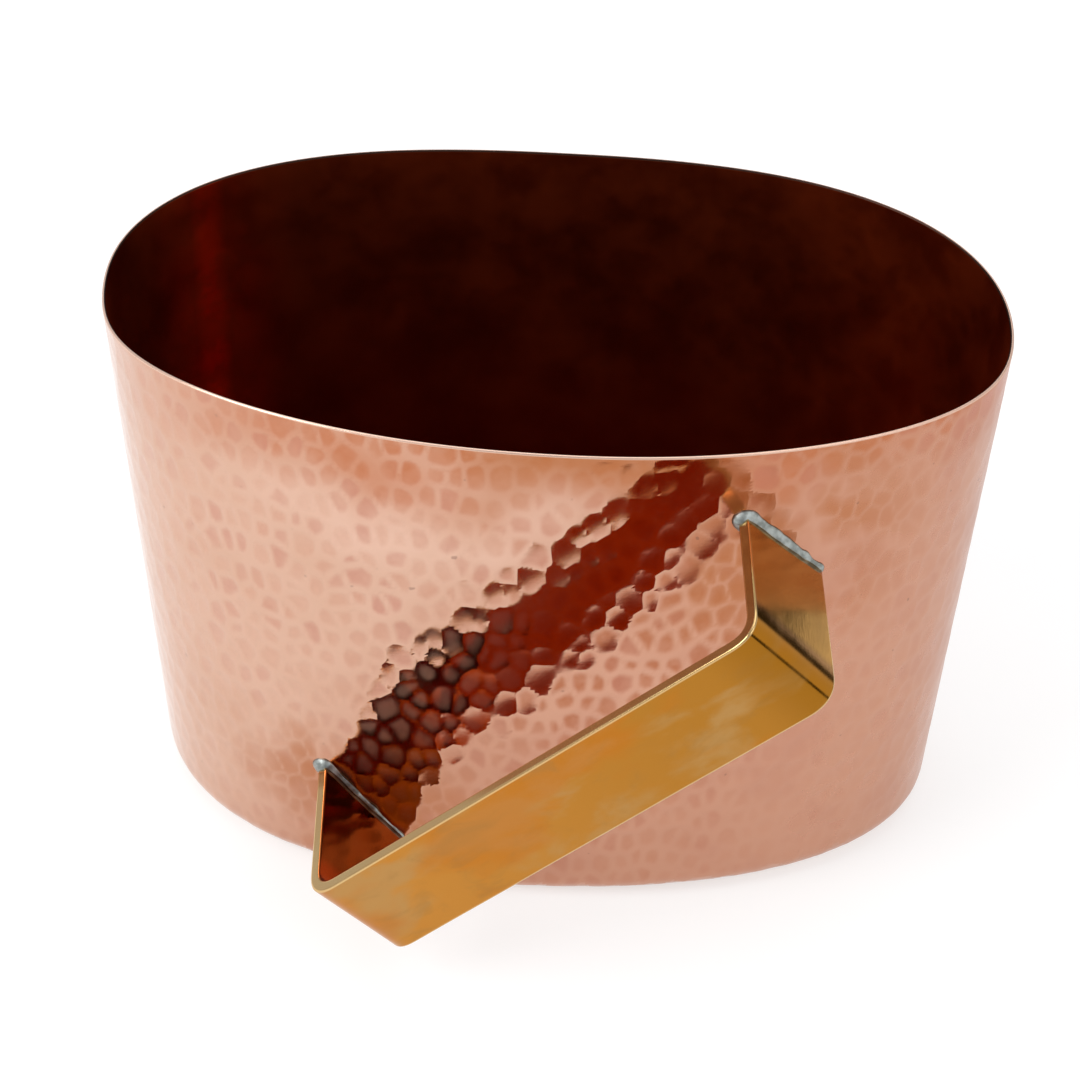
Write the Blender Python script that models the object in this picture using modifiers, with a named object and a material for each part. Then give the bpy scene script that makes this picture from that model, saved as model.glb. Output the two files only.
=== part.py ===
"""Oval hammered copper ice bucket with a slanting brass strap handle on each broad side.

The origin is the centre of the flat bottom face, +Z is up and +X runs along the oval.
"""

import math

import bmesh
import bpy
from mathutils import Vector
from mathutils.bvhtree import BVHTree

# Driving dimensions, in metres
RIM_LENGTH = 0.308
RIM_WIDTH = 0.181
RIM_HEIGHT = 0.205
WALL_TAPER = 0.010           # the wall comes in this much from rim to base, all round
BOTTOM_RADIUS = 0.010
SHEET = 0.0013               # thickness of the copper
OVAL_POWER = 2.2             # 2 is a plain ellipse, and more makes its flanks straighter
STRAP_WIDTH = 0.040
STRAP_THICKNESS = 0.004
GRIP_LENGTH = 0.1904
BEND_RADIUS = 0.008          # on the outside of the bend
STRAP_EDGE = 0.0004
SOLDER_RADIUS = 0.0024
SOLDER_OFFSET = 0.0008       # from the strap's faces to the middle of the bead
GAP = 0.0003                 # left between neighbouring pieces

# The handle: the middle of its grip's outer face, and how it is turned
HANDLE_PLACE = Vector((0.0153, -0.1324, 0.0980))
HANDLE_SLOPE = math.radians(42.4)
HANDLE_TILT = math.radians(4.3)
HANDLE_YAW = math.radians(4.5)
LEG_REACH = 0.075            # past the wall, before the leg is trimmed to it

# What hand raising left uneven: (lobes, cosine part, sine part)
PLAN_WAVES = ((3, 0.010, 0.014), (4, -0.004, -0.006))
RIM_WAVES = ((2, -0.0035, 0.0015), (3, 0.0008, 0.0), (4, -0.0012, 0.0))
PLAN_SKEW = -0.017

# Resolution
ROUND_STEPS = 96
WALL_STEPS = 4
FILLET_STEPS = 5
BEND_STEPS = 8
SOLDER_END_STEPS = 9
SOLDER_SIDE_STEPS = 10

COPPER = ((0.80, 0.42, 0.30), 0.28)
BRASS = ((0.72, 0.42, 0.13), 0.25)
SILVER_SOLDER = ((0.52, 0.52, 0.48), 0.45)


def clear_scene():
    for item in list(bpy.data.objects):
        bpy.data.objects.remove(item, do_unlink=True)


def collection(name):
    made = bpy.data.collections.new(name)
    bpy.context.scene.collection.children.link(made)
    return made


def metal(name, colour, roughness):
    material = bpy.data.materials.new(name)
    material.use_nodes = True
    shader = material.node_tree.nodes["Principled BSDF"]
    shader.inputs["Base Color"].default_value = (*colour, 1.0)
    shader.inputs["Roughness"].default_value = roughness
    shader.inputs["Metallic"].default_value = 1.0
    return material


def waves(angle, table):
    return sum(c * math.cos(lobes * angle) + s * math.sin(lobes * angle) for lobes, c, s in table)


def signed_power(value, power):
    return math.copysign(abs(value) ** power, value)


def plan_point(turn, inset):
    """A point of the oval outline, brought in by inset from the rim's own outline."""
    half_length = RIM_LENGTH / 2 - inset
    half_width = RIM_WIDTH / 2 - inset
    across = signed_power(math.cos(turn), 2 / OVAL_POWER)
    along = signed_power(math.sin(turn), 2 / OVAL_POWER)
    swell = 1 + waves(math.atan2(along, across), PLAN_WAVES)
    y = half_width * along * swell
    return Vector((half_length * across * swell + PLAN_SKEW * y, y))


def rim_height(turn):
    across = signed_power(math.cos(turn), 2 / OVAL_POWER)
    along = signed_power(math.sin(turn), 2 / OVAL_POWER)
    return RIM_HEIGHT + waves(math.atan2(along, across), RIM_WAVES)


def outer_ring(level, grow):
    """One ring of the outside. Level 0 is the rim, 1 the fillet's top and 2 the base's edge."""
    ring = []
    for step in range(ROUND_STEPS):
        turn = 2 * math.pi * step / ROUND_STEPS
        top = rim_height(turn)
        if level <= 1:
            height = top + (BOTTOM_RADIUS - top) * level
            fillet = 0.0
        else:
            bend = (level - 1) * math.pi / 2
            height = BOTTOM_RADIUS * (1 - math.sin(bend)) - grow * math.sin(bend)
            fillet = (BOTTOM_RADIUS + grow) * (1 - math.cos(bend))
        inset = WALL_TAPER * (1 - height / top) + fillet - grow
        ring.append(plan_point(turn, inset).to_3d() + Vector((0, 0, height)))
    return ring


def outer_levels():
    wall = [step / WALL_STEPS for step in range(WALL_STEPS + 1)]
    fillet = [1 + (step + 1) / FILLET_STEPS for step in range(FILLET_STEPS)]
    return wall + fillet


def loft(name, rings, close_top):
    """A skin through the rings, closed at the last one, and at the first if it is asked for."""
    mesh = bpy.data.meshes.new(name)
    shape = bmesh.new()
    rows = [[shape.verts.new(point) for point in ring] for ring in rings]
    for upper, lower in zip(rows, rows[1:]):
        for here in range(len(upper)):
            after = (here + 1) % len(upper)
            shape.faces.new((upper[here], lower[here], lower[after], upper[after]))
    shape.faces.new(list(reversed(rows[-1])))
    if close_top:
        shape.faces.new(rows[0])
    shape.to_mesh(mesh)
    shape.free()
    return bpy.data.objects.new(name, mesh)


def make_vessel(parts):
    vessel = loft("vessel", [outer_ring(level, 0.0) for level in outer_levels()], False)
    parts.objects.link(vessel)
    sheet = vessel.modifiers.new("sheet", "SOLIDIFY")
    sheet.thickness = SHEET
    sheet.offset = -1
    sheet.use_even_offset = True
    vessel.data.shade_smooth()
    vessel.data.set_sharp_from_angle(angle=math.radians(50))
    return vessel


def make_vessel_cutter(cutters):
    """The outside of the vessel, filled in, a gap larger all round."""
    cutter = loft("vessel_outside", [outer_ring(level, GAP) for level in outer_levels()], True)
    hide_cutter(cutter, cutters)
    return cutter


def hide_cutter(cutter, cutters):
    cutters.objects.link(cutter)
    cutter.hide_render = True
    cutter.display_type = "WIRE"


def arc(centre, radius, start, end, steps):
    points = []
    for step in range(steps + 1):
        turn = start + (end - start) * step / steps
        points.append((centre[0] + radius * math.cos(turn), centre[1] + radius * math.sin(turn)))
    return points


def strap_outline(grow):
    """The bent strap from its edge: the grip's outer face lies on X, and the legs run to +Y."""
    half = GRIP_LENGTH / 2 + grow
    outer = BEND_RADIUS + grow
    inner = BEND_RADIUS - STRAP_THICKNESS - grow
    middle = half - outer
    level = BEND_RADIUS
    points = [(half, LEG_REACH)]
    points += arc((middle, level), outer, 0, -math.pi / 2, BEND_STEPS)
    points += arc((-middle, level), outer, -math.pi / 2, -math.pi, BEND_STEPS)
    points.append((-half, LEG_REACH))
    points.append((-middle - inner, LEG_REACH))
    points += arc((-middle, level), inner, -math.pi, -math.pi / 2, BEND_STEPS)
    points += arc((middle, level), inner, -math.pi / 2, 0, BEND_STEPS)
    points.append((middle + inner, LEG_REACH))
    return points


def extruded(name, points, depth, holder):
    """A mesh solid from a flat outline, with its caps welded, placed under the holder."""
    curve = bpy.data.curves.new(name, "CURVE")
    curve.dimensions = "2D"
    curve.fill_mode = "BOTH"
    curve.extrude = depth / 2
    spline = curve.splines.new("POLY")
    spline.points.add(len(points) - 1)
    for target, (x, y) in zip(spline.points, points):
        target.co = (x, y, 0, 1)
    spline.use_cyclic_u = True
    return solid_from_curve(name, curve, holder.matrix_world)


def solid_from_curve(name, curve, place):
    drawn = bpy.data.objects.new(name + "_curve", curve)
    bpy.context.scene.collection.objects.link(drawn)
    drawn.matrix_world = place
    bpy.context.view_layer.update()
    mesh = bpy.data.meshes.new_from_object(drawn.evaluated_get(bpy.context.evaluated_depsgraph_get()))
    shape = bmesh.new()
    shape.from_mesh(mesh)
    bmesh.ops.remove_doubles(shape, verts=shape.verts, dist=0.00001)
    bmesh.ops.recalc_face_normals(shape, faces=shape.faces)
    shape.to_mesh(mesh)
    shape.free()
    solid = bpy.data.objects.new(name, mesh)
    solid.matrix_world = drawn.matrix_world
    bpy.data.objects.remove(drawn, do_unlink=True)
    return solid


def cut(target, cutter):
    knife = target.modifiers.new("cut_" + cutter.name, "BOOLEAN")
    knife.operation = "DIFFERENCE"
    knife.object = cutter


def make_handle(name, holder, vessel_cutter, parts):
    strap = extruded(name, strap_outline(0.0), STRAP_WIDTH, holder)
    parts.objects.link(strap)
    edges = strap.modifiers.new("edges", "BEVEL")
    edges.width = STRAP_EDGE
    edges.segments = 1
    edges.limit_method = "ANGLE"
    edges.angle_limit = math.radians(60)
    cut(strap, vessel_cutter)
    strap.data.shade_smooth()
    strap.data.set_sharp_from_angle(angle=math.radians(30))
    return strap


def foot_path(side, holder, wall):
    """A stadium round one leg, laid on the wall: side is 1 for the upper leg and -1 for the lower."""
    radius = STRAP_THICKNESS / 2 + SOLDER_OFFSET
    straight = STRAP_WIDTH / 2 + SOLDER_OFFSET - radius
    middle = side * (GRIP_LENGTH - STRAP_THICKNESS) / 2
    outline = []
    for end, start in ((1, 0.0), (-1, math.pi)):
        outline += arc((middle, end * straight), radius, start, start + math.pi, SOLDER_END_STEPS)
        for step in range(1, SOLDER_SIDE_STEPS):
            slide = end * straight * (1 - 2 * step / SOLDER_SIDE_STEPS)
            outline.append((middle - end * radius, slide))
    into_wall = holder.matrix_world.to_3x3() @ Vector((0, 1, 0))
    path = []
    for x, z in outline:
        start = holder.matrix_world @ Vector((x, 0, z))
        path.append(wall.ray_cast(start, into_wall)[0])
    return path


def make_solder(name, path, handle_cutter, vessel_cutter, parts):
    curve = bpy.data.curves.new(name, "CURVE")
    curve.dimensions = "3D"
    curve.bevel_depth = SOLDER_RADIUS
    curve.bevel_resolution = 2
    spline = curve.splines.new("POLY")
    spline.points.add(len(path) - 1)
    for target, point in zip(spline.points, path):
        target.co = (*point, 1)
    spline.use_cyclic_u = True
    centre = sum(path, Vector()) / len(path)
    for target in spline.points:
        target.co = (*(target.co.to_3d() - centre), 1)
    place = vessel_cutter.matrix_world.copy()
    place.translation = centre
    bead = solid_from_curve(name, curve, place)
    parts.objects.link(bead)
    cut(bead, vessel_cutter)
    cut(bead, handle_cutter)
    bead.data.shade_smooth()
    return bead


def make_holder(name, turn, parts):
    """Two empties: one turned to the handle's side of the vessel, one at the handle itself."""
    side = bpy.data.objects.new(name + "_side", None)
    parts.objects.link(side)
    side.rotation_euler = (0, 0, turn)
    place = bpy.data.objects.new(name + "_place", None)
    parts.objects.link(place)
    place.parent = side
    place.location = HANDLE_PLACE
    place.rotation_mode = "YXZ"
    place.rotation_euler = (HANDLE_TILT, -HANDLE_SLOPE, HANDLE_YAW)
    bpy.context.view_layer.update()
    return place


def wall_tree(cutter):
    shape = bmesh.new()
    shape.from_mesh(cutter.data)
    tree = BVHTree.FromBMesh(shape)
    shape.free()
    return tree


def build():
    clear_scene()
    parts = collection("ice_bucket")
    cutters = collection("cutters")
    copper = metal("hammered_copper", *COPPER)
    vessel = make_vessel(parts)
    vessel.data.materials.append(copper)
    vessel_cutter = make_vessel_cutter(cutters)
    wall = wall_tree(vessel_cutter)
    for side, turn in (("front", 0.0), ("rear", math.pi)):
        holder = make_holder(side, turn, parts)
        handle = make_handle(side + "_handle", holder, vessel_cutter, parts)
        handle.data.materials.append(metal(side + "_brass", *BRASS))
        handle_cutter = extruded(side + "_strap_space", strap_outline(GAP), STRAP_WIDTH + 2 * GAP, holder)
        hide_cutter(handle_cutter, cutters)
        for foot, leg in (("upper", 1), ("lower", -1)):
            name = f"{side}_{foot}_solder"
            bead = make_solder(name, foot_path(leg, holder, wall), handle_cutter, vessel_cutter, parts)
            bead.data.materials.append(metal(name, *SILVER_SOLDER))


build()
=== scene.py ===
"""The looks of the oval ice bucket: hammered copper, tarnished brass straps and beads of silver solder."""

import math

import bpy
import numpy as np
from mathutils import Matrix, Vector, noise
from mathutils.bvhtree import BVHTree
from mathutils.kdtree import KDTree


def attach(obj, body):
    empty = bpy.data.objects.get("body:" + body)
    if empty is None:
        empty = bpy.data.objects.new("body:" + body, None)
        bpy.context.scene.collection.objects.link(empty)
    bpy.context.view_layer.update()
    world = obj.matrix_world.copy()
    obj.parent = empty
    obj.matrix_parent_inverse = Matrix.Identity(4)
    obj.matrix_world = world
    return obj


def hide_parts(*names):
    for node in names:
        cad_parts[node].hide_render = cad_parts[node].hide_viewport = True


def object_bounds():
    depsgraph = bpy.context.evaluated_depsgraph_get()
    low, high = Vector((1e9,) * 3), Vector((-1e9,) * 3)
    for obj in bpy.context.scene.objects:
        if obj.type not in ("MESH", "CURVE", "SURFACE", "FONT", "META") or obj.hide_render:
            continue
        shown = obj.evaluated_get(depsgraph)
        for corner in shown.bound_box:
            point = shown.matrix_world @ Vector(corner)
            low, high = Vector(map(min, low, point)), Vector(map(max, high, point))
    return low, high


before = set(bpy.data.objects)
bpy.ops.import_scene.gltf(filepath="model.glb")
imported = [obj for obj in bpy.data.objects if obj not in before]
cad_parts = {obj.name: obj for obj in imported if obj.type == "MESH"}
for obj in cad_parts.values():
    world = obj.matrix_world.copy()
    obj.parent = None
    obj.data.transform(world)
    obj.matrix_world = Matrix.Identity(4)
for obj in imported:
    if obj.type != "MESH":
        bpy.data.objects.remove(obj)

CAD_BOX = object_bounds()

# Vessel, in metres
SHEET = 0.0013
BOTTOM_RADIUS = 0.010
RIM_CLEARANCE = 0.00015      # the finished rim stays this far under the CAD solid's
LIP_SINK = 0.0008            # how far the lip's rounding reaches down each face
COLUMNS = 520
OUTER_ROWS = 150
INNER_ROWS = 6
FILLET_ROWS = 8
LIP_ROWS = 6
BASE_SHARES = (0.12, 0.30, 0.50, 0.70, 0.88)

# Hammer marks
STRIKE_WIDTH = 0.0071        # between blows round the wall
STRIKE_HEIGHT = 0.0098       # between rows of blows
STRIKE_JITTER = 0.36         # of that spacing
STRIKE_SPREAD = 0.07         # how unevenly deep the blows are
STRIKE_ROUNDING = (0.75, 1.3)  # how sharply each blow is curved, against the mean
DIMPLE_SCALE = 0.00080       # depth of a dimple one spacing in radius
RIDGE_LEVEL = 0.40           # level of the highest ridges, in the same measure
THINNEST_FACE = 0.12         # of a grid square, below which a moved corner goes back
RANDOM_SEED = 11

# How strong the marks are, against those on the middle of the wall
FOOT_STRENGTH = 0.45         # at the bottom edge
FOOT_FADE = 0.06             # how far up the wall they take to come to full strength
RIM_STRENGTH = 0.10          # at the rim
RIM_FADE = 0.004             # how far below the rim they start to fade
END_STRENGTH = 0.35          # at the oval's two ends
END_FADE = (0.62, 0.97)      # of the way out to the ends, where they start and stop fading

# Straps and solder, in metres
STRAP_ROUNDING = 0.0007
STRAP_RIPPLE = 0.00007       # the most that a face is worn in
RIPPLE_SCALE = 38            # noise cells to a metre
ROUNDING_STEPS = 4
WIDE_SPACINGS = (0.006, 0.02, 0.12, 0.24, 0.36, 0.5, 0.64, 0.76, 0.88, 0.98, 0.994)
NARROW_SPACINGS = (0.06, 0.3, 0.7, 0.94)
BEND_SPREAD = 0.0045         # how far past the CAD solid's bend the bar starts to curve
BEND_POWER = 2.8             # of the bend's superellipse: above 2 it is tightest in the middle
GRIP_STATIONS = 56
LEG_STATIONS = 12
BEND_STATIONS = 22
SOLDER_FOOT = 0.0024         # how far a full bead spreads over the copper
SOLDER_RISE = 0.0018         # how far it climbs the strap
SOLDER_STATIONS = 150
SOLDER_STEPS = 7             # across the bead's face
SOLDER_SINK = 0.0004         # how far its edges reach back under the face

# Camera: where it stands, seen from the middle of the bucket
CAMERA_DISTANCE = 0.950
CAMERA_ELEVATION = 0.68026
CAMERA_AZIMUTH = 0.0546
CAMERA_ROLL = 0.02388
CAMERA_LENS = 88.255
CAMERA_SHIFT = (-0.00437, -0.00653)
AIM_HEIGHT = 0.1025

# Studio
TABLE = (-12.0, -12.0, 1.7, 0.88)   # left, near, right and far edges
PALE_ROOM = (0.62, 0.63, 0.66)
PALE_GROUND = (1.0, 1.0, 1.0)
DARK_OLIVE = (0.060, 0.055, 0.035)
WINDOW = (1.15, 1.12, 1.05)


# ---------------------------------------------------------------- reading the frame

def harmonics(angles, lobes):
    rows = [np.ones_like(angles)]
    for lobe in range(1, lobes + 1):
        rows += [np.cos(lobe * angles), np.sin(lobe * angles)]
    return np.stack(rows, axis=1)


class Wall:
    """The vessel's outside as smooth functions of the way round it, read from the CAD solid."""

    LOBES = 24
    RIM_LOBES = 12

    def __init__(self, node):
        corners = np.array([vertex.co for vertex in node.data.vertices])
        self.tree = BVHTree.FromPolygons(corners.tolist(), [list(f.vertices) for f in node.data.polygons])
        self.tall = corners[:, 2].max()
        rim = corners[corners[:, 2] > 0.9 * self.tall]
        rim_angles = np.arctan2(rim[:, 1], rim[:, 0])
        self.rim_parts = np.linalg.lstsq(harmonics(rim_angles, self.RIM_LOBES), rim[:, 2], rcond=None)[0]
        angles = np.linspace(0, 2 * math.pi, 720, endpoint=False)
        self.levels = (0.1 * self.tall, 0.9 * self.tall)
        self.radius_parts = [self.read_level(angles, level) for level in self.levels]
        self.fit_arc_length()

    def read_level(self, angles, level):
        """Outer radii at one height, as harmonics."""
        radii = []
        for angle in angles:
            away = Vector((math.cos(angle), math.sin(angle), 0))
            hit = self.tree.ray_cast(away + Vector((0, 0, level)), -away)[0]
            radii.append(math.hypot(hit.x, hit.y))
        return np.linalg.lstsq(harmonics(angles, self.LOBES), np.array(radii), rcond=None)[0]

    def fit_arc_length(self):
        angles = np.linspace(0, 2 * math.pi, 4097)
        points = self.plan(angles, np.full_like(angles, self.tall / 2))
        steps = np.hypot(*np.diff(points, axis=0).T)
        self.length = steps.sum()
        self.table = (np.concatenate([[0], np.cumsum(steps)]), angles)

    def plan(self, angles, heights):
        basis = harmonics(angles, self.LOBES)
        low, high = (basis @ parts for parts in self.radius_parts)
        radii = low + (high - low) * (heights - self.levels[0]) / (self.levels[1] - self.levels[0])
        return np.stack([radii * np.cos(angles), radii * np.sin(angles)], axis=1)

    def angle_at(self, along):
        return np.interp(np.mod(along, self.length), *self.table)

    def rim_height(self, along):
        return harmonics(self.angle_at(along), self.RIM_LOBES) @ self.rim_parts - RIM_CLEARANCE

    def surface(self, along, heights, sunk):
        """Points of the wall, moved in by sunk across it."""
        points = self.plan(self.angle_at(along), heights)
        small = self.length / 8000
        before = self.plan(self.angle_at(along - small), heights)
        after = self.plan(self.angle_at(along + small), heights)
        slope = after - before
        slope /= np.hypot(*slope.T)[:, None]
        outward = np.stack([slope[:, 1], -slope[:, 0]], axis=1)
        return np.column_stack([points - outward * sunk[:, None], heights])


class Strap:
    """A bent strap's own axes and sizes, read from its CAD solid. X runs along the grip and up,
    Y from the grip's outer face towards the vessel and Z across the strap."""

    def __init__(self, node):
        mesh = node.data
        flats = {}
        for face in mesh.polygons:
            key = tuple(round(part, 2) for part in face.normal)
            flats.setdefault(key, []).append(face)
        outward = {key: faces for key, faces in flats.items()
                   if Vector(key[:2]).dot(faces[0].center.xy) > 0}
        largest = max(outward.values(), key=lambda faces: sum(face.area for face in faces))
        corners = np.unique(np.round([mesh.vertices[i].co for f in largest for i in f.vertices], 7), axis=0)
        middle = (corners.max(axis=0) + corners.min(axis=0)) / 2
        normal = Vector(largest[0].normal).normalized()
        spread = corners - corners.mean(axis=0)
        along = Vector(np.linalg.svd(spread)[2][0]).normalized()
        if along.z < 0:
            along.negate()
        inward = -normal
        across = along.cross(inward).normalized()
        turn = Matrix((along, inward, across)).transposed()
        self.place = Matrix.Translation(Vector(middle)) @ turn.to_4x4()
        own = self.place.inverted()
        local = np.array([own @ vertex.co for vertex in mesh.vertices])
        face_local = np.array([own @ Vector(corner) for corner in corners])
        self.half_length = local[:, 0].max()
        self.half_width = local[:, 2].max()
        self.bend = self.half_length - face_local[:, 0].max() + BEND_SPREAD
        inner = [own @ face.center for face in mesh.polygons if face.normal.dot(normal) < -0.999]
        self.thickness = min(point.y for point in inner)

    def to_wall(self, wall, x, z):
        """How far the vessel is from the grip's outer face plane, at one place on it."""
        start = self.place @ Vector((x, 0, z))
        hit = wall.tree.ray_cast(start, self.place.to_3x3() @ Vector((0, 1, 0)))
        return hit[3]


# ---------------------------------------------------------------- mesh helpers

def piece(name, points, faces, material, attributes=()):
    mesh = bpy.data.meshes.new(name)
    mesh.from_pydata([tuple(point) for point in points], [], faces)
    mesh.validate()
    mesh.shade_smooth()
    for label, values in attributes:
        layer = mesh.attributes.new(label, "FLOAT", "POINT")
        layer.data.foreach_set("value", np.asarray(values, np.float32))
    made = bpy.data.objects.new(name, mesh)
    bpy.context.scene.collection.objects.link(made)
    mesh.materials.append(material)
    return made


def tube_faces(rows, columns, closed_rows=False):
    """Quads between rows of a grid whose columns run in a ring."""
    faces = []
    last = rows if closed_rows else rows - 1
    for row in range(last):
        here = row * columns
        there = (row + 1) % rows * columns
        for column in range(columns):
            after = (column + 1) % columns
            faces.append((here + column, here + after, there + after, there + column))
    return faces


def smooth_step(values, low, high):
    share = np.clip((values - low) / (high - low), 0, 1)
    return share * share * (3 - 2 * share)


# ---------------------------------------------------------------- the vessel

class Hammering:
    """The blows on the wall, in spacings: X round the wall and Y up it. A spot belongs to the blow
    whose bowl is lowest there, and ridges stand where two bowls meet."""

    NEAR = 6

    def __init__(self, length, bottom, top):
        random = np.random.default_rng(RANDOM_SEED)
        self.round = round(length / STRIKE_WIDTH)
        self.scale = length / self.round
        rows = range(math.floor(bottom / STRIKE_HEIGHT) - 1, math.ceil(top / STRIKE_HEIGHT) + 2)
        blows = []
        for row in rows:
            for column in range(self.round):
                drift = random.uniform(-STRIKE_JITTER, STRIKE_JITTER, 2)
                blows.append((column + row % 2 / 2 + drift[0], row + drift[1],
                              random.normal(0, STRIKE_SPREAD), random.uniform(*STRIKE_ROUNDING),
                              random.random()))
        blows = np.array(blows)
        before, after = blows - (self.round, 0, 0, 0, 0), blows + (self.round, 0, 0, 0, 0)
        first, last = before[:, 0] > -3, after[:, 0] < self.round + 3
        self.blows = np.concatenate([blows, before[first], after[last]])
        numbers = np.arange(len(blows))
        self.numbers = np.concatenate([numbers, numbers[first], numbers[last]])
        self.tree = KDTree(len(self.blows))
        for index, blow in enumerate(self.blows):
            self.tree.insert((blow[0], blow[1], 0), index)
        self.tree.balance()

    def nearest(self, spots):
        return np.array([[found[1] for found in self.tree.find_n((x, y, 0), self.NEAR)] for x, y in spots])

    def read(self, spots, near):
        """For each spot: its level, the blow it belongs to, and the step to its nearest ridge."""
        bowls = self.blows[near]
        offsets = spots[:, None, :] - bowls[:, :, :2]
        levels = bowls[:, :, 3] * (offsets ** 2).sum(axis=2) + bowls[:, :, 2]
        slopes = 2 * bowls[:, :, 3, None] * offsets
        every = np.arange(len(spots))
        own = levels.argmin(axis=1)
        rise = levels - levels[every, own][:, None]
        lean = slopes - slopes[every, own][:, None, :]
        size = (lean ** 2).sum(axis=2)
        size[every, own] = 1
        away = rise / np.sqrt(size)
        away[every, own] = np.inf
        other = away.argmin(axis=1)
        step = -lean[every, other] * (rise / size)[every, other][:, None]
        return levels[every, own], near[every, own], away[every, other], step


def shifted(grid, rows, columns):
    """A grid's values one row up or one column on, with the columns running in a ring."""
    moved = np.roll(grid, -columns, axis=1)
    return moved[rows:] if rows else moved


def snapped_to_ridges(hammering, spots, near, shape):
    """Moves the grid's corners that lie nearest to each ridge on to it."""
    rows, columns = shape
    _, owners, away, step = hammering.read(spots, near)
    numbers = hammering.numbers[owners].reshape(shape)
    distance = away.reshape(shape).copy()
    distance[[0, FILLET_ROWS, -1]] = np.inf
    chosen = np.zeros(shape, bool)
    for up, on in ((0, 1), (1, 0), (1, 1), (1, -1)):
        here = slice(0, rows - up)
        crossing = numbers[here] != shifted(numbers, up, on)
        nearer = distance[here] <= shifted(distance, up, on)
        chosen[here] |= crossing & nearer
        chosen[up:] |= np.roll(crossing & ~nearer, on, axis=1)
    chosen &= np.isfinite(distance)
    moves = np.where(chosen.ravel()[:, None], step, 0.0).reshape(rows, columns, 2)
    still = spots.reshape(rows, columns, 2)
    width = hammering.round
    for _ in range(3):
        grid = still + moves
        ring = np.concatenate([grid, grid[:, :1] + (width, 0)], axis=1)
        corners = (ring[:-1, :-1], ring[:-1, 1:], ring[1:, 1:], ring[1:, :-1])
        flat = np.concatenate([still, still[:, :1] + (width, 0)], axis=1)
        plain = (flat[:-1, 1:] - flat[:-1, :-1])[..., 0] * (flat[1:, :-1] - flat[:-1, :-1])[..., 1]
        for index in range(4):
            before, corner, after = corners[index - 1], corners[index], corners[(index + 1) % 4]
            one, two = after - corner, before - corner
            thin = one[..., 0] * two[..., 1] - one[..., 1] * two[..., 0] < THINNEST_FACE * plain
            for up, on in ((0, 0), (0, 1), (1, 0), (1, 1)):
                target = moves[up:up + rows - 1]
                target[np.roll(thin, on, axis=1)] = 0
    return (still + moves).reshape(-1, 2), (moves != 0).any(axis=2)


def split_faces(rows, columns, on_ridge):
    """Triangles between rows of a ring grid, cut along the ridges where they run across a square."""
    faces = []
    for row in range(rows - 1):
        for column in range(columns):
            after = (column + 1) % columns
            corners = (row * columns + column, row * columns + after,
                       (row + 1) * columns + after, (row + 1) * columns + column)
            falling = on_ridge[row, after] and on_ridge[row + 1, column]
            rising = on_ridge[row, column] and on_ridge[row + 1, after]
            if falling and not rising:
                faces += [(corners[0], corners[1], corners[3]), (corners[1], corners[2], corners[3])]
            else:
                faces += [(corners[0], corners[1], corners[2]), (corners[0], corners[2], corners[3])]
    return faces


def sharpen(mesh, owners):
    """Marks the edges between faces of different owners; a negative owner has no say."""
    loops = np.empty(len(mesh.loops), np.int32)
    mesh.loops.foreach_get("edge_index", loops)
    totals = np.empty(len(mesh.polygons), np.int32)
    mesh.polygons.foreach_get("loop_total", totals)
    by_loop = np.repeat(owners, totals)
    lowest = np.full(len(mesh.edges), np.iinfo(np.int32).max)
    highest = np.full(len(mesh.edges), -1)
    np.minimum.at(lowest, loops, by_loop)
    np.maximum.at(highest, loops, by_loop)
    sharp = mesh.attributes.new("sharp_edge", "BOOLEAN", "EDGE")
    sharp.data.foreach_set("value", (lowest >= 0) & (lowest != highest))


def wall_grid(wall):
    """Distances round the wall and up it for every corner of the hammered grid."""
    along = np.arange(COLUMNS) * wall.length / COLUMNS
    top = wall.rim_height(along) - LIP_SINK
    below = BOTTOM_RADIUS * (1 - math.pi / 2 * (1 - np.arange(FILLET_ROWS) / FILLET_ROWS))
    shares = np.linspace(0, 1, OUTER_ROWS)[:, None]
    ups = np.concatenate([np.repeat(below[:, None], COLUMNS, axis=1),
                          BOTTOM_RADIUS + (top - BOTTOM_RADIUS) * shares])
    return along, np.tile(along, (len(ups), 1)), ups


def inner_rows(wall, along, top):
    """The inside, from the lip down the wall, round the bottom and across to the middle."""
    rows = []
    for share in np.linspace(0, 1, INNER_ROWS):
        up = top - LIP_SINK - (top - LIP_SINK - BOTTOM_RADIUS) * share
        rows.append(wall.surface(along, up, np.full(COLUMNS, SHEET)))
    radius = BOTTOM_RADIUS - SHEET
    for turn in np.linspace(0, math.pi / 2, FILLET_ROWS)[1:]:
        up = np.full(COLUMNS, BOTTOM_RADIUS - radius * math.sin(turn))
        rows.append(wall.surface(along, up, np.full(COLUMNS, SHEET + radius * (1 - math.cos(turn)))))
    return rows


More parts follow.
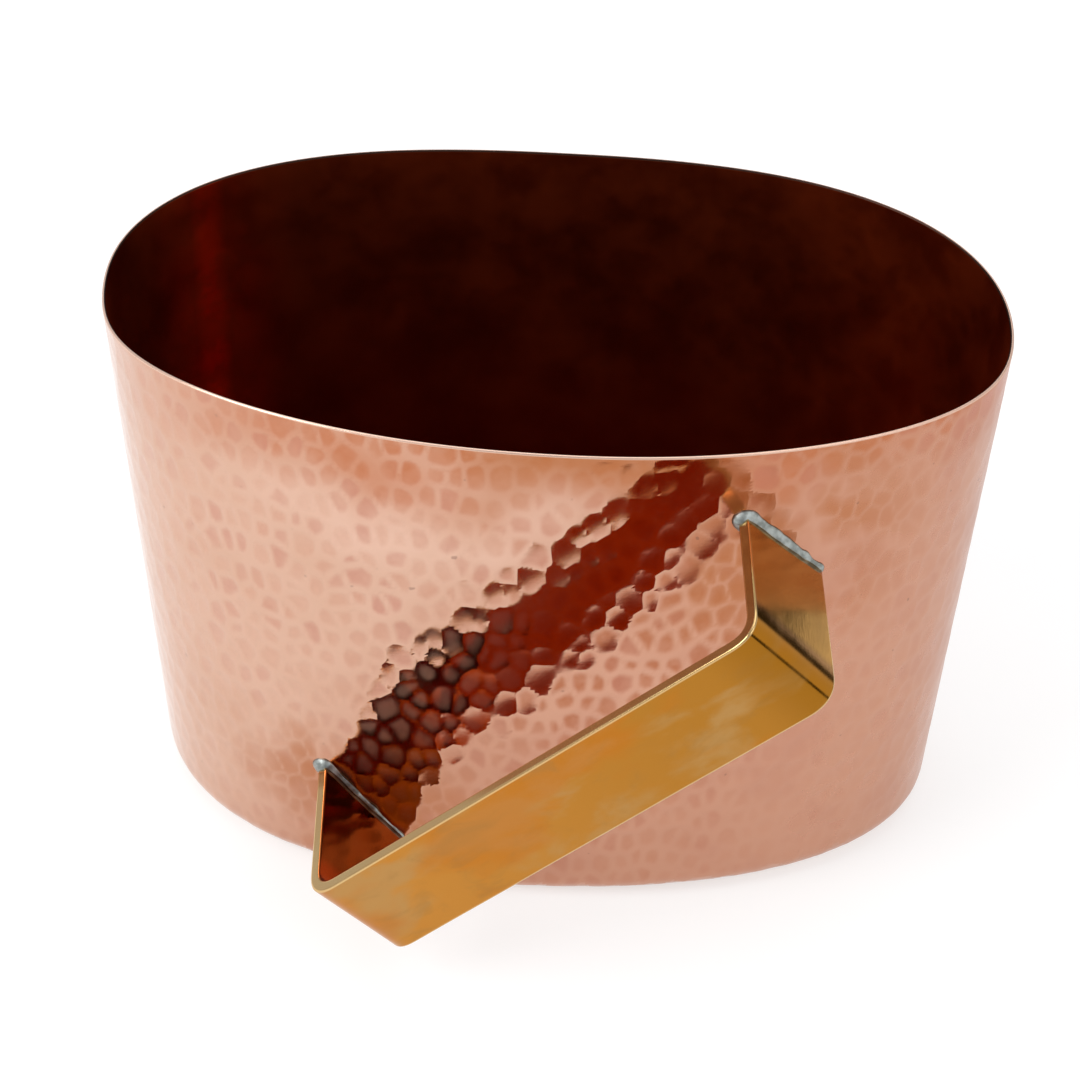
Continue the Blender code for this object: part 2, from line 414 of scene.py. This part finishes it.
def make_vessel(wall, feet, outside, inside):
    hammering = Hammering(wall.length, -BOTTOM_RADIUS, wall.tall)
    along, rounds, ups = wall_grid(wall)
    top = wall.rim_height(along)
    spots = np.stack([rounds.ravel() / hammering.scale, ups.ravel() / STRIKE_HEIGHT], axis=1)
    near = hammering.nearest(spots)
    spots, on_ridge = snapped_to_ridges(hammering, spots, near, rounds.shape)
    levels, owners, away, _ = hammering.read(spots, near)
    rounds, ups = spots[:, 0] * hammering.scale, spots[:, 1] * STRIKE_HEIGHT
    rims = wall.rim_height(rounds)
    strength = FOOT_STRENGTH + (1 - FOOT_STRENGTH) * smooth_step(ups, 0.0, FOOT_FADE)
    strength *= 1 - (1 - RIM_STRENGTH) * smooth_step(ups, rims - RIM_FADE, rims)
    reach = np.abs(wall.plan(wall.angle_at(rounds), ups)[:, 0]) / CAD_BOX[1].x
    strength *= 1 - (1 - END_STRENGTH) * smooth_step(reach, *END_FADE)
    sunk = DIMPLE_SCALE * strength * np.clip(RIDGE_LEVEL - levels, 0, None)
    bend = np.clip((BOTTOM_RADIUS - ups) / BOTTOM_RADIUS, 0, math.pi / 2)
    heights = np.where(ups < BOTTOM_RADIUS, BOTTOM_RADIUS * (1 - np.sin(bend)), ups)
    points = wall.surface(rounds, heights, BOTTOM_RADIUS * (1 - np.cos(bend)) + sunk * np.cos(bend))
    points[:, 2] += sunk * np.sin(bend)
    shell = points.reshape(-1, COLUMNS, 3)

    centre = shell[0].mean(axis=0) * (1, 1, 0)
    base = [centre + (shell[0] * (1, 1, 0) - centre) * share for share in BASE_SHARES]
    lip = []
    for turn in np.linspace(0, math.pi, LIP_ROWS + 2)[1:-1]:
        up = top - LIP_SINK * (1 - math.sin(turn))
        lip.append(wall.surface(along, up, np.full(COLUMNS, SHEET / 2 * (1 - math.cos(turn)))))
    inner = inner_rows(wall, along, top)
    middle = centre + (0, 0, SHEET)
    inner += [middle + (inner[-1] - middle) * share for share in reversed(BASE_SHARES)]

    above = np.concatenate([shell[-1:], np.array(lip), np.array(inner)])
    below = np.concatenate([np.array(base), shell[:1]])
    parts, faces, offset = [], [], 0
    for block, made in ((below, tube_faces(len(below), COLUMNS)),
                        (shell, split_faces(len(shell), COLUMNS, on_ridge)),
                        (above, tube_faces(len(above), COLUMNS))):
        faces += [tuple(index + offset for index in face) for face in made]
        parts.append(block.reshape(-1, 3))
        offset += parts[-1].shape[0] - COLUMNS
    corners = np.concatenate([parts[0], parts[1][COLUMNS:], parts[2][COLUMNS:]])
    last = len(corners) - COLUMNS
    for column in range(COLUMNS):
        after = (column + 1) % COLUMNS
        faces.append((after, column, len(corners)))
        faces.append((last + column, last + after, len(corners) + 1))
    corners = np.concatenate([corners, [centre, middle]])

    start = len(base) * COLUMNS
    stop = start + len(points)
    blank = np.zeros(len(corners))
    aways, bowls, tones, lips = blank + 0.2, blank + 0.5, blank + 0.5, blank.copy()
    aways[start:stop] = away
    bowls[start:stop] = 1 - levels / RIDGE_LEVEL
    tones[start:stop] = hammering.blows[owners, 4]
    lips[stop:stop + LIP_ROWS * COLUMNS] = 1
    nearest = [min((Vector(corner) - foot).length for foot in feet) for corner in corners]
    vessel = piece("copper_vessel", corners, faces, outside,
                   [("away", aways), ("bowl", bowls), ("tone", tones), ("lip", lips), ("foot", nearest)])
    vessel.data.materials.append(inside)

    first = (len(below) - 1) * COLUMNS
    wall_faces = 2 * (len(shell) - 1) * COLUMNS
    belongs = np.full(len(faces), -1)
    triangles = np.array(faces[first:first + wall_faces]) - start
    spot_of = spots[triangles]
    spot_of[..., 0] -= hammering.round * (spot_of[..., 0] - spot_of[:, :1, 0] > hammering.round / 2)
    spot_of[..., 0] += hammering.round * (spot_of[:, :1, 0] - spot_of[..., 0] > hammering.round / 2)
    owner = hammering.read(spot_of.mean(axis=1), near[triangles[:, 0]])[1]
    belongs[first:first + wall_faces] = hammering.numbers[owner]
    sharpen(vessel.data, belongs)

    slots = np.zeros(len(faces), np.int32)
    inner_faces = first + wall_faces + (LIP_ROWS // 2 + 1) * COLUMNS
    slots[inner_faces:len(faces) - 2 * COLUMNS] = 1
    slots[len(faces) - 2 * COLUMNS + 1::2] = 1
    vessel.data.polygons.foreach_set("material_index", slots)
    return vessel


# ---------------------------------------------------------------- straps and solder

def strap_section(strap):
    """The strap's cross-section, corner by corner round its edge, as (depth, across, edge, inside):
    edge is 1 off the two wide faces and inside is 1 on the face towards the vessel."""
    depth, half, radius = strap.thickness, strap.half_width, STRAP_ROUNDING
    corners = ((radius, half - radius, 90), (radius, radius - half, 180),
               (depth - radius, radius - half, 270), (depth - radius, half - radius, 0))
    section = []
    for index, (deep, across, start) in enumerate(corners):
        for step in range(ROUNDING_STEPS + 1):
            turn = math.radians(start + 90 / ROUNDING_STEPS * step)
            place = (deep + radius * math.cos(turn), across + radius * math.sin(turn))
            section.append((*place, 1.0, float(place[0] > depth - radius / 2)))
        following = corners[(index + 1) % 4]
        turn = math.radians(start + 90)
        for share in NARROW_SPACINGS if index % 2 else WIDE_SPACINGS:
            place = (deep + (following[0] - deep) * share + radius * math.cos(turn),
                     across + (following[1] - across) * share + radius * math.sin(turn))
            section.append((*place, float(index % 2), float(place[0] > depth - radius / 2)))
    return section


def strap_stations():
    """Places along the strap, as (part, share): leg, bend, grip, bend and leg."""
    leg = [(0, step / LEG_STATIONS) for step in range(LEG_STATIONS)]
    bend = [(1, step / BEND_STATIONS) for step in range(BEND_STATIONS)]
    grip = [(2, step / GRIP_STATIONS) for step in range(GRIP_STATIONS + 1)]
    return leg + bend + grip + [(4 - part, share) for part, share in reversed(leg + bend)]


def strap_point(strap, wall, station, depth, across):
    """A point of the strap in its own axes. A station is a part, 0 and 4 for the legs, 1 and 3 for
    the bends and 2 for the grip, and how far along it, from the vessel for legs and bends."""
    part, share = station
    side = 1 if part < 2 else -1
    middle = strap.half_length - strap.bend
    if part in (0, 4):
        x = side * (strap.half_length - depth)
        end = strap.to_wall(wall, x, across)
        return Vector((x, end + (strap.bend - end) * share, across))
    if part in (1, 3):
        turn = math.pi / 2 * share
        reach = strap.bend - depth
        out, down = (max(0.0, way) ** (2 / BEND_POWER) for way in (math.cos(turn), math.sin(turn)))
        return Vector((side * (middle + reach * out), strap.bend - reach * down, across))
    return Vector((middle * (1 - 2 * share), depth, across))


def make_strap(name, node, wall, material):
    strap = Strap(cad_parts[node])
    stations = strap_stations()
    section = strap_section(strap)
    points, marks = [], []
    for station in stations:
        for depth, across, edge, inside in section:
            local = strap_point(strap, wall, station, depth, across)
            ripple = STRAP_RIPPLE * (0.5 + 0.5 * noise.noise(local * RIPPLE_SCALE + Vector((7, 1, 3))))
            deeper = depth + (ripple if depth < strap.thickness / 2 else -ripple)
            local = strap_point(strap, wall, station, deeper, across - math.copysign(ripple, across))
            points.append(strap.place @ local)
            run = local.x + math.copysign(max(local.y - strap.bend, 0), local.x)
            marks.append((edge, inside, run, across))
    faces = tube_faces(len(stations), len(section))
    ring = list(range(len(section)))
    faces.append(tuple(reversed(ring)))
    faces.append(tuple(index + (len(stations) - 1) * len(section) for index in ring))
    labels = ("edge", "inside", "run", "side")
    made = piece(name, points, faces, material, list(zip(labels, zip(*marks))))
    return made, strap


def stadium(half_long, half_short, share):
    """A point and outward direction on a long rounded rectangle's edge: share runs 0 to 1 round it."""
    straight = 2 * (half_long - half_short)
    curve = math.pi * half_short
    travel = share * 2 * (straight + curve)
    for side in (1, -1):
        if travel < straight:
            return Vector((side * half_short, 0, side * (travel - straight / 2))), Vector((side, 0, 0))
        travel -= straight
        if travel < curve:
            turn = travel / half_short
            out = Vector((side * math.cos(turn), 0, side * math.sin(turn)))
            return Vector((0, 0, side * straight / 2)) + out * half_short, out
        travel -= curve
    return Vector((half_short, 0, -straight / 2)), Vector((1, 0, 0))


def make_solder(name, strap, wall, side, material):
    """The bead round one foot: side is 1 for the upper foot and -1 for the lower."""
    middle = Vector((side * (strap.half_length - strap.thickness / 2), 0, 0))
    points = []
    for station in range(SOLDER_STATIONS):
        spot, out = stadium(strap.half_width, strap.thickness / 2, station / SOLDER_STATIONS)
        spot = middle + spot
        lump = noise.noise(spot * 110 + Vector((side * 3, 5, 2)))
        lump += 0.5 * noise.noise(spot * 300 + Vector((4, side, 8)))
        height = (spot.z / strap.half_width + 1) / 2
        run = height ** (0.5 if side > 0 else 2.5)
        blob = max(0.0, height) ** 14
        foot = SOLDER_FOOT * (0.30 + 0.70 * run + 0.40 * lump + 0.05 * blob)
        rise = SOLDER_RISE * (0.25 + 0.65 * run + 0.40 * lump + 0.45 * blob)
        outer = spot + out * foot
        outer.y = strap.to_wall(wall, outer.x, outer.z)
        corner = spot.copy()
        corner.y = strap.to_wall(wall, spot.x, spot.z)
        upper = corner + Vector((0, -rise, 0)) + out * 0.00005
        full = 0.62 + 0.25 * lump
        pull = corner + (outer - corner) * full + (upper - corner) * full
        for share in (step / (SOLDER_STEPS - 1) for step in range(SOLDER_STEPS)):
            points.append(outer * (1 - share) ** 2 + pull * 2 * share * (1 - share) + upper * share ** 2)
        points.append(upper - out * SOLDER_SINK)
        points.append(outer + Vector((0, 0.0005, 0)) - out * SOLDER_SINK)
    faces = tube_faces(SOLDER_STATIONS, SOLDER_STEPS + 2, closed_rows=True)
    return piece(name, [strap.place @ point for point in points], faces, material)


# ---------------------------------------------------------------- materials

class Tree:
    """Short calls for building a node tree. A value is a socket, a number or a colour."""

    def __init__(self, tree):
        self.tree = tree

    def add(self, kind, **settings):
        node = self.tree.nodes.new(kind)
        for key, value in settings.items():
            setattr(node, key, value)
        return node

    def link(self, source, target):
        self.tree.links.new(source, target)

    def fill(self, node, name, value):
        if isinstance(value, bpy.types.NodeSocket):
            self.link(value, node.inputs[name])
        elif isinstance(value, tuple):
            node.inputs[name].default_value = (*value, 1.0)
        else:
            node.inputs[name].default_value = value

    def split(self, place):
        node = self.add("ShaderNodeSeparateXYZ")
        self.link(place, node.inputs["Vector"])
        return node.outputs

    def ramp(self, value, low, high, to_low=0.0, to_high=1.0):
        node = self.add("ShaderNodeMapRange", interpolation_type="SMOOTHSTEP")
        self.fill(node, "Value", value)
        self.fill(node, "From Min", low)
        self.fill(node, "From Max", high)
        self.fill(node, "To Min", to_low)
        self.fill(node, "To Max", to_high)
        return node.outputs["Result"]

    def fade(self, value, low, high):
        """1 up to low, then down to 0 at high."""
        return self.ramp(value, low, high, 1.0, 0.0)

    def maths(self, operation, first, second):
        node = self.add("ShaderNodeMath", operation=operation)
        self.fill(node, 0, first)
        self.fill(node, 1, second)
        return node.outputs[0]

    def product(self, first, *others):
        for other in others:
            first = self.maths("MULTIPLY", first, other)
        return first

    def mix(self, share, first, second):
        node = self.add("ShaderNodeMix", data_type="RGBA")
        self.fill(node, "Factor", share)
        self.fill(node, 6, first)
        self.fill(node, 7, second)
        return node.outputs[2]


class Nodes(Tree):
    """A material's nodes, round one Principled shader."""

    def __init__(self, name):
        self.material = bpy.data.materials.new(name)
        self.material.use_nodes = True
        super().__init__(self.material.node_tree)
        self.shader = self.tree.nodes["Principled BSDF"]
        self.place = self.add("ShaderNodeTexCoord").outputs["Object"]

    def noise(self, scale, detail=3.0, roughness=0.5, stretch=None, distortion=0.0):
        node = self.add("ShaderNodeTexNoise")
        place = self.place
        if stretch:
            mapping = self.add("ShaderNodeMapping")
            self.link(self.place, mapping.inputs["Vector"])
            mapping.inputs["Scale"].default_value = stretch
            place = mapping.outputs["Vector"]
        self.link(place, node.inputs["Vector"])
        self.fill(node, "Scale", scale)
        self.fill(node, "Detail", detail)
        self.fill(node, "Roughness", roughness)
        self.fill(node, "Distortion", distortion)
        return node.outputs["Fac"]

    def attributes(self, *names):
        return [self.add("ShaderNodeAttribute", attribute_name=name).outputs["Fac"] for name in names]

    def bump(self, height, distance, strength=1.0, below=None):
        node = self.add("ShaderNodeBump")
        self.fill(node, "Height", height)
        self.fill(node, "Distance", distance)
        self.fill(node, "Strength", strength)
        if below is not None:
            self.link(below, node.inputs["Normal"])
        return node.outputs["Normal"]

    def finish(self, colour, roughness, normal=None, metallic=1.0):
        self.fill(self.shader, "Base Color", colour)
        self.fill(self.shader, "Roughness", roughness)
        self.fill(self.shader, "Metallic", metallic)
        if normal is not None:
            self.link(normal, self.shader.inputs["Normal"])
        return self.material


def hammered_copper():
    nodes = Nodes("hammered_copper")
    away, bowl, tone, lip, foot = nodes.attributes("away", "bowl", "tone", "lip", "foot")
    across, _, up = nodes.split(nodes.place)
    cloud = nodes.noise(13, 3, 0.5)

    # Zones of the wall: right of the handle, past the left end's painted sheen; under the rim; a bright
    # band, a painted reflection of the sky; and inside the handle's loop, a painted reflection of the
    # handle's shaded inner face
    drift = nodes.maths("ADD", up, nodes.ramp(cloud, 0.3, 0.7, -0.010, 0.010))
    past = nodes.maths("SUBTRACT", across, nodes.product(up, 0.7))
    right = nodes.ramp(past, -0.150, -0.065)
    near_rim = nodes.product(nodes.ramp(drift, 0.172, 0.200), nodes.ramp(across, -0.140, -0.060, 0.3, 1.0))
    # Painted reflection of the sky: a pale band a few centimetres under the rim, towards the left end
    painted_sky_reflection = nodes.product(nodes.ramp(drift, 0.158, 0.172), nodes.fade(drift, 0.180, 0.192),
                        nodes.ramp(right, 0.0, 0.8, 0.55, 0.0), nodes.ramp(across, -0.110, -0.060))
    # Painted reflection of the handle's shaded inner face, on the wall inside the handle's loop
    painted_handle_reflection = nodes.product(nodes.ramp(past, -0.105, -0.065), nodes.fade(across, 0.062, 0.088),
                         nodes.ramp(drift, 0.060, 0.095))

    # The ridges are pale and the bowls burnt, both painted paler at the left end: a painted sheen of the
    # key light
    pale = nodes.mix(right, (0.655, 0.410, 0.303), (0.555, 0.285, 0.190))
    # Painted sky reflection: paler ridges in that band
    pale = nodes.mix(painted_sky_reflection, pale, (0.735, 0.480, 0.372))
    # Painted handle reflection: darker ridges inside the handle's loop
    pale = nodes.mix(nodes.product(painted_handle_reflection, 0.7), pale, (0.620, 0.335, 0.230))
    deep = nodes.mix(right, (0.575, 0.290, 0.195), (0.455, 0.170, 0.088))
    burnt = nodes.mix(near_rim, deep, (0.490, 0.165, 0.072))
    seen = nodes.product(nodes.ramp(across, -0.148, -0.080, 0.35, 1.0),
                         nodes.ramp(across, 0.045, 0.095, 1.0, 0.25),
                         nodes.ramp(drift, 0.03, 0.13, 0.40, 0.85),
                         nodes.ramp(painted_sky_reflection, 0.0, 0.55, 1.0, 0.7),
                         nodes.ramp(tone, 0.0, 0.9, 0.55, 1.15),
                         nodes.ramp(nodes.noise(26, 2, 0.5), 0.35, 0.6, 0.70, 1.0))
    spread = nodes.product(away, nodes.ramp(near_rim, 0.0, 1.0, 1.0, 1.6))
    dip = nodes.product(nodes.ramp(spread, 0.03, 0.34), nodes.ramp(bowl, -0.3, 0.70),
                        nodes.ramp(nodes.noise(170, 2, 0.5), 0.35, 0.65, 0.75, 1.1))
    marked = nodes.product(nodes.maths("MAXIMUM", near_rim, painted_handle_reflection), 0.95)
    spot = nodes.product(dip, nodes.maths("MAXIMUM", seen, marked))
    haze = nodes.product(near_rim, nodes.ramp(cloud, 0.40, 0.60, 0.40, 0.80))
    colour = nodes.mix(spot, nodes.mix(haze, pale, burnt), burnt)
    plum = nodes.product(spot, nodes.ramp(tone, 0.60, 0.80, 0.0, 0.22))
    colour = nodes.mix(plum, colour, (0.50, 0.235, 0.215))

    # Heat stains round the handles' feet and under the rim, then blotches and specks
    stain = nodes.product(nodes.ramp(foot, 0.012, 0.070, 0.85, 0.0),
                          nodes.ramp(nodes.noise(30, 3, 0.5), 0.36, 0.60),
                          nodes.ramp(away, -0.02, 0.16, 0.55, 1.0))
    heat = nodes.product(nodes.ramp(across, -0.035, 0.000, 0.0, 0.9), nodes.fade(across, 0.045, 0.070),
                         near_rim)
    colour = nodes.mix(nodes.maths("MAXIMUM", stain, heat), colour, (0.435, 0.155, 0.060))
    blotch = nodes.ramp(nodes.noise(38, 4, 0.6), 0.42, 0.70, 0.0, 0.30)
    # The blotches too are paler at the left end, part of the same painted sheen
    colour = nodes.mix(blotch, colour, nodes.mix(right, (0.600, 0.350, 0.240), (0.480, 0.215, 0.145)))
    specks = nodes.ramp(nodes.noise(330, 1, 0.4), 0.785, 0.82, 0.0, 0.4)
    colour = nodes.mix(specks, colour, (0.16, 0.08, 0.06))
    # The lip painted paler: worn copper, and a painted highlight along the rim
    colour = nodes.mix(lip, colour, (0.78, 0.53, 0.41))

    # Satin to the right, a thin film in the bowls to the left
    satin = nodes.ramp(across, 0.03, 0.12, 0.08, 0.26)
    roughness = nodes.maths("ADD", satin, nodes.ramp(nodes.noise(60, 4, 0.6), 0.3, 0.7, 0.0, 0.06))
    roughness = nodes.maths("ADD", roughness, nodes.product(lip, 0.18))
    scratch = nodes.noise(260, 4, 0.7, stretch=(1.0, 1.0, 7.0))
    normal = nodes.bump(scratch, 0.00003, 0.25, nodes.bump(nodes.noise(1400, 3, 0.6), 0.00002, 0.25))
    film = nodes.product(dip, nodes.ramp(across, -0.045, 0.015, 0.24, 0.0),
                         nodes.ramp(up, 0.050, 0.085, 0.2, 1.0))
    return nodes.finish(colour, roughness, normal, metallic=nodes.maths("SUBTRACT", 1.0, film))


def shaded_inside_copper():
    nodes = Nodes("copper_inside_painted_shade")
    cloud = nodes.noise(17, 4, 0.55, stretch=(1.0, 1.0, 0.5))
    across, _, height = nodes.split(nodes.place)
    # The inside is the copper painted dark red: painted shade inside the bucket
    colour = nodes.mix(nodes.ramp(cloud, 0.35, 0.68), (0.265, 0.040, 0.008), (0.340, 0.052, 0.010))
    # Painted highlight: a bright red streak up the inside's left wall, a core with a dim halo
    highlight_core = nodes.product(nodes.ramp(across, -0.135, -0.127), nodes.fade(across, -0.126, -0.117))
    highlight_halo = nodes.product(nodes.ramp(across, -0.150, -0.130), nodes.ramp(across, -0.124, -0.095, 0.35, 0.0))
    painted_highlight = nodes.product(nodes.maths("MAXIMUM", highlight_core, highlight_halo), nodes.ramp(height, 0.03, 0.08),
                           nodes.ramp(nodes.noise(60, 3, 0.6), 0.38, 0.62, 0.55, 1.0))
    colour = nodes.mix(painted_highlight, colour, (1.0, 0.050, 0.005))
    # Painted light: lighter, redder towards the right of the inside
    colour = nodes.mix(nodes.ramp(across, 0.050, 0.130, 0.0, 0.6), colour, (0.500, 0.060, 0.008))
    # Painted shade: darker under the rim inside
    colour = nodes.mix(nodes.ramp(height, 0.150, 0.200, 0.0, 0.45), colour, (0.120, 0.014, 0.003))
    # Painted shade: darker towards the inside's bottom
    colour = nodes.mix(nodes.ramp(height, 0.0, 0.030, 0.75, 0.0), colour, (0.110, 0.018, 0.005))
    # Painted shade: the lip's inner half near black
    colour = nodes.mix(nodes.attributes("lip")[0], colour, (0.035, 0.018, 0.014))
    roughness = nodes.ramp(nodes.noise(45, 4, 0.6), 0.3, 0.7, 0.30, 0.42)
    normal = nodes.bump(nodes.noise(70, 3, 0.5), 0.0003, 0.4)
    return nodes.finish(colour, roughness, normal)


def tarnished_brass():
    nodes = Nodes("tarnished_brass")
    edge, inside, run, side = nodes.attributes("edge", "inside", "run", "side")

    # The noises are read along and across the bar, drawn out along it
    plan = nodes.add("ShaderNodeCombineXYZ")
    nodes.link(nodes.product(run, 0.55), plan.inputs[0])
    nodes.link(side, plan.inputs[1])
    nodes.link(nodes.product(nodes.split(nodes.place)["Y"], 0.3), plan.inputs[2])
    nodes.place = plan.outputs[0]

    cloud = nodes.noise(44, 4, 0.55, distortion=0.25)
    colour = nodes.mix(nodes.ramp(run, -0.09, 0.09), (0.520, 0.222, 0.036), (0.400, 0.170, 0.020))
    milky = nodes.ramp(cloud, 0.46, 0.64, 0.0, 0.70)
    colour = nodes.mix(milky, colour, (0.440, 0.255, 0.090))
    rub = nodes.ramp(nodes.noise(34, 3, 0.5), 0.48, 0.62, 0.0, 0.55)
    colour = nodes.mix(rub, colour, (0.500, 0.155, 0.010))
    dull = nodes.ramp(nodes.noise(75, 4, 0.6, distortion=0.8), 0.50, 0.70, 0.0, 0.30)
    colour = nodes.mix(dull, colour, (0.300, 0.160, 0.045))
    colour = nodes.mix(nodes.ramp(run, 0.070, 0.090, 0.0, 0.55), colour, (0.270, 0.105, 0.006))
    colour = nodes.mix(nodes.ramp(run, 0.094, 0.100, 0.0, 0.9), colour, (0.500, 0.235, 0.008))
    leg = nodes.ramp(nodes.maths("ABSOLUTE", run, 0.0), 0.092, 0.098)
    # Painted shade: the face towards the vessel painted dark red, darker still on the legs
    painted_shade_inside = nodes.mix(leg, (0.520, 0.088, 0.004), (0.330, 0.080, 0.004))
    colour = nodes.mix(nodes.product(inside, 0.85), colour, painted_shade_inside)
    # Paler edges: wear, and a painted highlight along the rounded edges
    edge_wear_and_highlight = nodes.product(edge, nodes.ramp(inside, 0.0, 1.0, 0.7, 0.2))
    colour = nodes.mix(edge_wear_and_highlight, colour, (0.70, 0.50, 0.24))
    roughness = nodes.ramp(cloud, 0.3, 0.7, 0.09, 0.19)
    hair = nodes.noise(900, 2, 0.5, stretch=(0.06, 1.0, 1.0))
    normal = nodes.bump(hair, 0.00002, 0.3, nodes.bump(nodes.noise(90, 3, 0.5), 0.00006, 0.3))
    return nodes.finish(colour, roughness, normal)


def silver_solder():
    nodes = Nodes("silver_solder")
    cloud = nodes.noise(320, 3, 0.5)
    colour = nodes.mix(nodes.ramp(cloud, 0.35, 0.68), (0.22, 0.235, 0.22), (0.42, 0.455, 0.44))
    roughness = nodes.ramp(nodes.noise(300, 3, 0.6), 0.3, 0.7, 0.32, 0.50)
    normal = nodes.bump(nodes.noise(420, 3, 0.6), 0.00025, 0.5)
    return nodes.finish(colour, roughness, normal)


# ---------------------------------------------------------------- the studio

def area_light(name, place, aim, size, power):
    data = bpy.data.lights.new(name, "AREA")
    data.shape = "RECTANGLE"
    data.size, data.size_y = size
    data.energy = power
    light = bpy.data.objects.new(name, data)
    light.location = place
    light.rotation_euler = (Vector(aim) - Vector(place)).to_track_quat("-Z", "Y").to_euler()
    bpy.context.scene.collection.objects.link(light)


def make_world():
    """A pale room with a dark olive corner low behind on the right, and a low window beside it."""
    world = bpy.data.worlds.new("studio")
    world.use_nodes = True
    nodes = Tree(world.node_tree)
    east, north, up = nodes.split(nodes.add("ShaderNodeTexCoord").outputs["Generated"])
    low = nodes.fade(up, 0.06, 0.40)
    eastern = nodes.ramp(east, 0.45, 0.58)
    corner = nodes.product(nodes.ramp(north, 0.42, 0.66), eastern, low)
    window = nodes.product(nodes.ramp(east, 0.74, 0.88), low)
    sector = nodes.product(eastern, nodes.fade(east, 0.955, 0.975), nodes.ramp(north, -0.55, -0.45))
    room = nodes.mix(window, nodes.mix(corner, PALE_ROOM, DARK_OLIVE), WINDOW)
    ground = nodes.mix(sector, PALE_GROUND, DARK_OLIVE)
    background = world.node_tree.nodes["Background"]
    nodes.fill(background, "Color", nodes.mix(nodes.fade(up, -0.02, 0.01), room, ground))
    nodes.fill(background, "Strength", 1.0)
    bpy.context.scene.world = world


def make_floor():
    table = Nodes("light_table")
    table.fill(table.shader, "Emission Color", (1.0, 0.99, 0.98))
    table.fill(table.shader, "Emission Strength", 0.62)
    material = table.finish((0.42, 0.42, 0.42), 0.9, metallic=0.0)
    left, near, right, far = TABLE
    corners = [(left, near, 0), (right, near, 0), (right, far, 0), (left, far, 0)]
    floor = piece("floor", corners, [(0, 1, 2, 3)], material)


def make_studio():
    scene = bpy.context.scene
    scene.view_settings.view_transform = "Standard"
    scene.view_settings.look = "None"
    make_world()
    make_floor()
    middle = (0, 0, 0.1)
    area_light("key", (-1.3, -0.8, 1.3), middle, (1.1, 1.1), 22)
    area_light("fill", (1.3, -0.9, 1.4), middle, (1.2, 1.2), 6)
    area_light("top", (0.0, 0.5, 2.0), middle, (2.0, 1.4), 12)


def make_camera():
    flat = math.cos(CAMERA_ELEVATION)
    back = Vector((math.sin(CAMERA_AZIMUTH) * flat, -math.cos(CAMERA_AZIMUTH) * flat,
                   math.sin(CAMERA_ELEVATION)))
    level = (-back).cross(Vector((0, 0, 1))).normalized()
    upright = level.cross(-back)
    right = level * math.cos(CAMERA_ROLL) + upright * math.sin(CAMERA_ROLL)
    up = upright * math.cos(CAMERA_ROLL) - level * math.sin(CAMERA_ROLL)
    data = bpy.data.cameras.new("camera")
    data.sensor_width = 36
    data.lens = CAMERA_LENS
    data.shift_x, data.shift_y = CAMERA_SHIFT
    camera = bpy.data.objects.new("camera", data)
    camera.matrix_world = Matrix.Translation(Vector((0, 0, AIM_HEIGHT)) + back * CAMERA_DISTANCE) @ \
        Matrix((right, up, back)).transposed().to_4x4()
    bpy.context.scene.collection.objects.link(camera)
    bpy.context.scene.camera = camera


def main():
    wall = Wall(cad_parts["vessel"])
    brass, solder = tarnished_brass(), silver_solder()
    feet = []
    for side in ("front", "rear"):
        handle, strap = make_strap(side + "_brass_strap", side + "_handle", wall, brass)
        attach(handle, "root")
        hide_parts(side + "_handle")
        for foot, way in (("upper", 1), ("lower", -1)):
            bead = make_solder(f"{side}_{foot}_bead", strap, wall, way, solder)
            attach(bead, "root")
            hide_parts(f"{side}_{foot}_solder")
            low, high = (Vector(corner) for corner in (bead.bound_box[0], bead.bound_box[6]))
            feet.append((low + high) / 2)
    vessel = make_vessel(wall, feet, hammered_copper(), shaded_inside_copper())
    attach(vessel, "root")
    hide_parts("vessel")
    make_studio()
    make_camera()


main()
